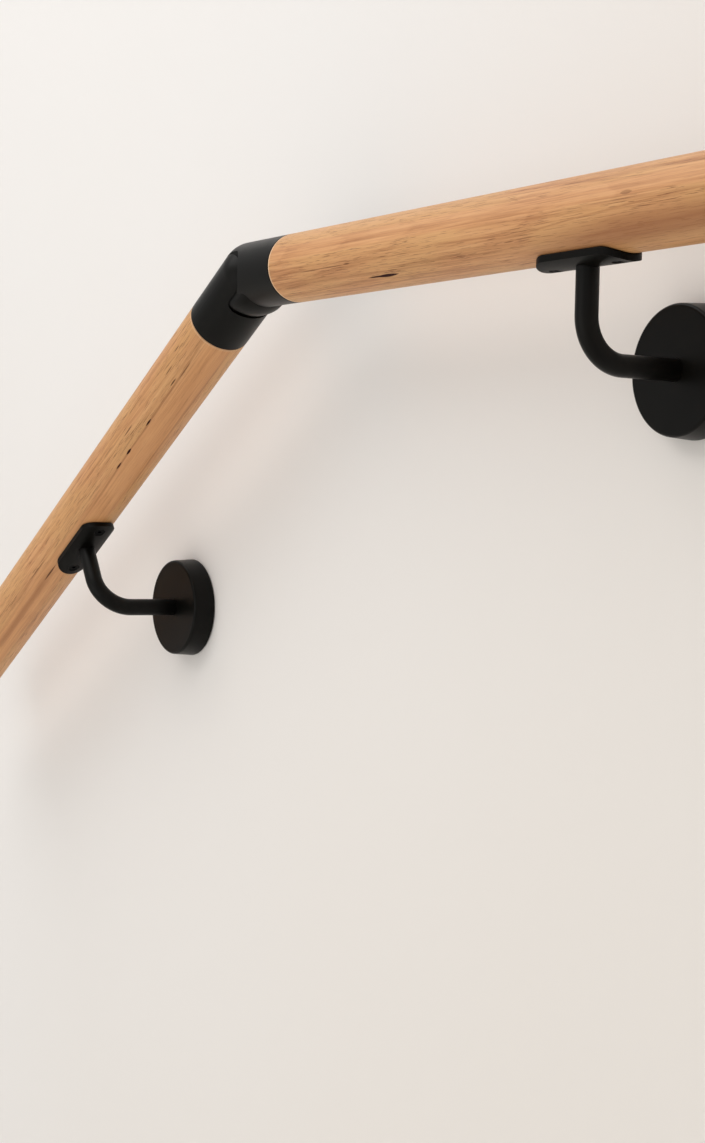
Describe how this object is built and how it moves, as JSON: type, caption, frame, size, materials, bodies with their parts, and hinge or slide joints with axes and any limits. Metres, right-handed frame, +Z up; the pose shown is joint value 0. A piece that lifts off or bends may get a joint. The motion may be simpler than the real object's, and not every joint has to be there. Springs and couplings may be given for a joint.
{
  "type": "handrail",
  "caption": "Round wooden stair handrail that turns from level to sloping at a black adjustable elbow, on black wall brackets",
  "frame": {"origin": "on the wall, at the middle of the level rail's bracket foot", "axes": "+X along the level rail, away from the elbow; +Y into the wall; +Z up"},
  "size_m": [1.0775, 0.095, 0.3585],
  "materials": {
    "timber": "satin clear lacquer on a light brown hardwood with a fine long grain",
    "black_coat": "satin black powder coat",
    "zinc_steel": "bright zinc plate"
  },
  "bodies": {
    "level_side": {"level_rail": "timber", "elbow_tongue_half": "black_coat", "level_join_screw": "zinc_steel", "level_saddle": "black_coat", "level_arm": "black_coat", "level_wall_plate": "zinc_steel", "level_wall_cover": "black_coat", "level_wood_screws": "black_coat", "level_stem_screw": "zinc_steel", "level_foot_screw": "zinc_steel"},
    "sloping_side": {"sloping_rail": "timber", "elbow_fork_half": "black_coat", "pivot_screw": "zinc_steel", "sloping_join_screw": "zinc_steel", "sloping_saddle": "black_coat", "sloping_arm": "black_coat", "sloping_wall_plate": "zinc_steel", "sloping_wall_cover": "black_coat", "sloping_wood_screws": "black_coat", "sloping_stem_screw": "zinc_steel", "sloping_foot_screw": "zinc_steel"}
  },
  "joints": [
    {"name": "elbow_pivot", "type": "hinge", "parent": "level_side", "child": "sloping_side", "pos_m": [-0.3345, -0.074, 0.0725], "axis": [0, -1, 0], "range_deg": [-32.3, 11.7]}
  ]
}
